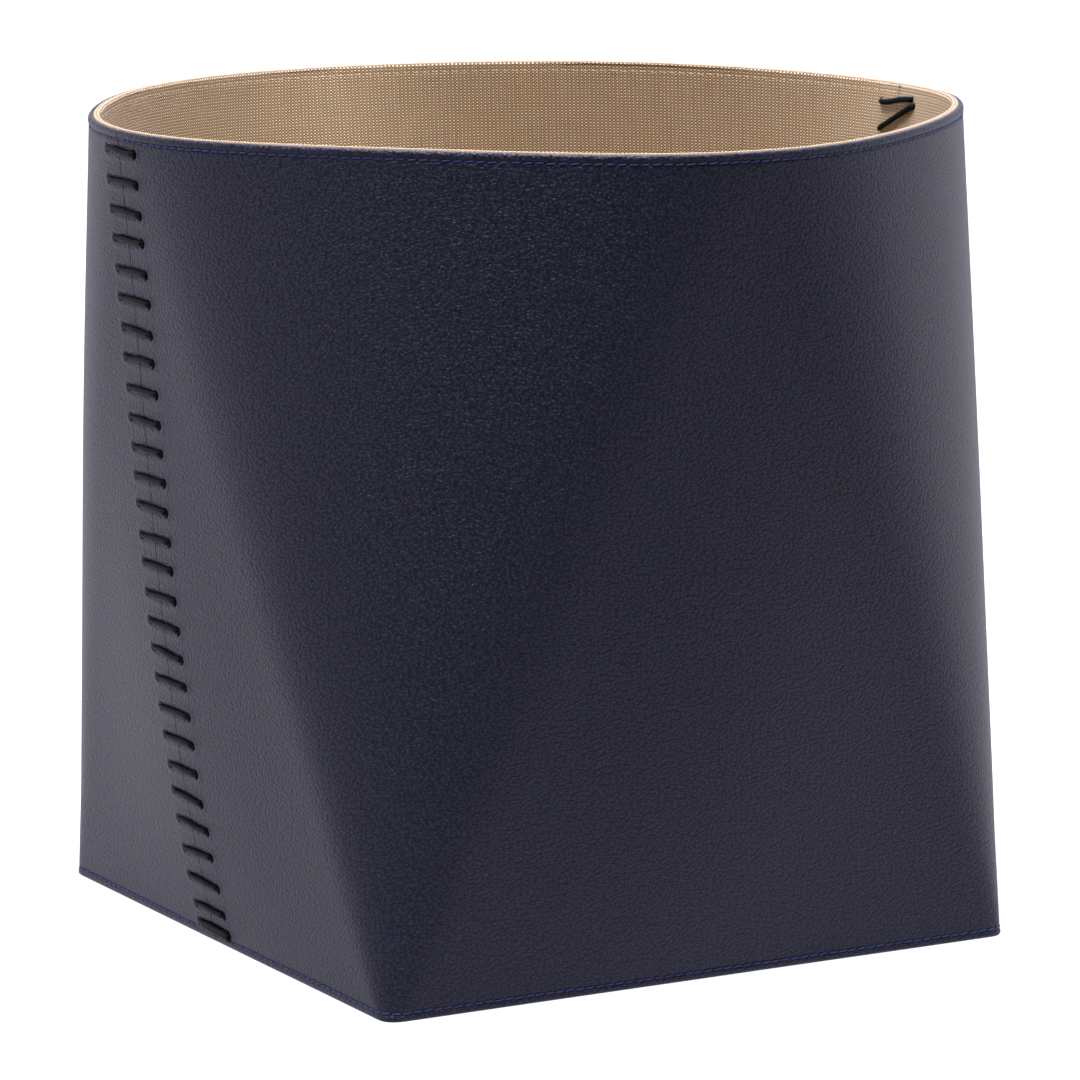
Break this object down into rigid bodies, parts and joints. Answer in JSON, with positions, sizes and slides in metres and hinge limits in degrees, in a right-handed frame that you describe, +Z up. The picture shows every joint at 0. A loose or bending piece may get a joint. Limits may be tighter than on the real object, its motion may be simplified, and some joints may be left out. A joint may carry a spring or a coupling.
{
  "type": "soft storage bin",
  "caption": "Open leather-covered bin with a square base that turns into a round rim, canvas lining and laced side seams.",
  "frame": {"origin": "centre of the square base, on the surface the bin stands on", "axes": "+Z up through the middle of the rim; -Y is the front face, seams are in the -X and +X faces"},
  "size_m": [0.3333, 0.33, 0.3],
  "materials": {
    "leather": "pebbled grain, semi-matt",
    "base_leather": "pebbled grain, semi-matt",
    "board": "raw grey board",
    "canvas": "plain-weave linen canvas",
    "blue_thread": "twisted thread, slight sheen",
    "beige_thread": "twisted thread, matt",
    "lace": "round waxed lace, satin"
  },
  "bodies": {
    "root": {"leather_panel_front": "leather", "wall_board_front": "board", "lining_front": "canvas", "rim_stitching_front": "blue_thread", "hem_stitching_front": "blue_thread", "rim_bobbin_thread_front": "beige_thread", "hem_bobbin_thread_front": "beige_thread", "leather_panel_back": "leather", "wall_board_back": "board", "lining_back": "canvas", "rim_stitching_back": "blue_thread", "hem_stitching_back": "blue_thread", "rim_bobbin_thread_back": "beige_thread", "hem_bobbin_thread_back": "beige_thread", "seam_lace_left": "lace", "seam_lace_right": "lace", "base_leather": "base_leather", "base_board": "board", "base_lining": "canvas"}
  },
  "joints": []
}
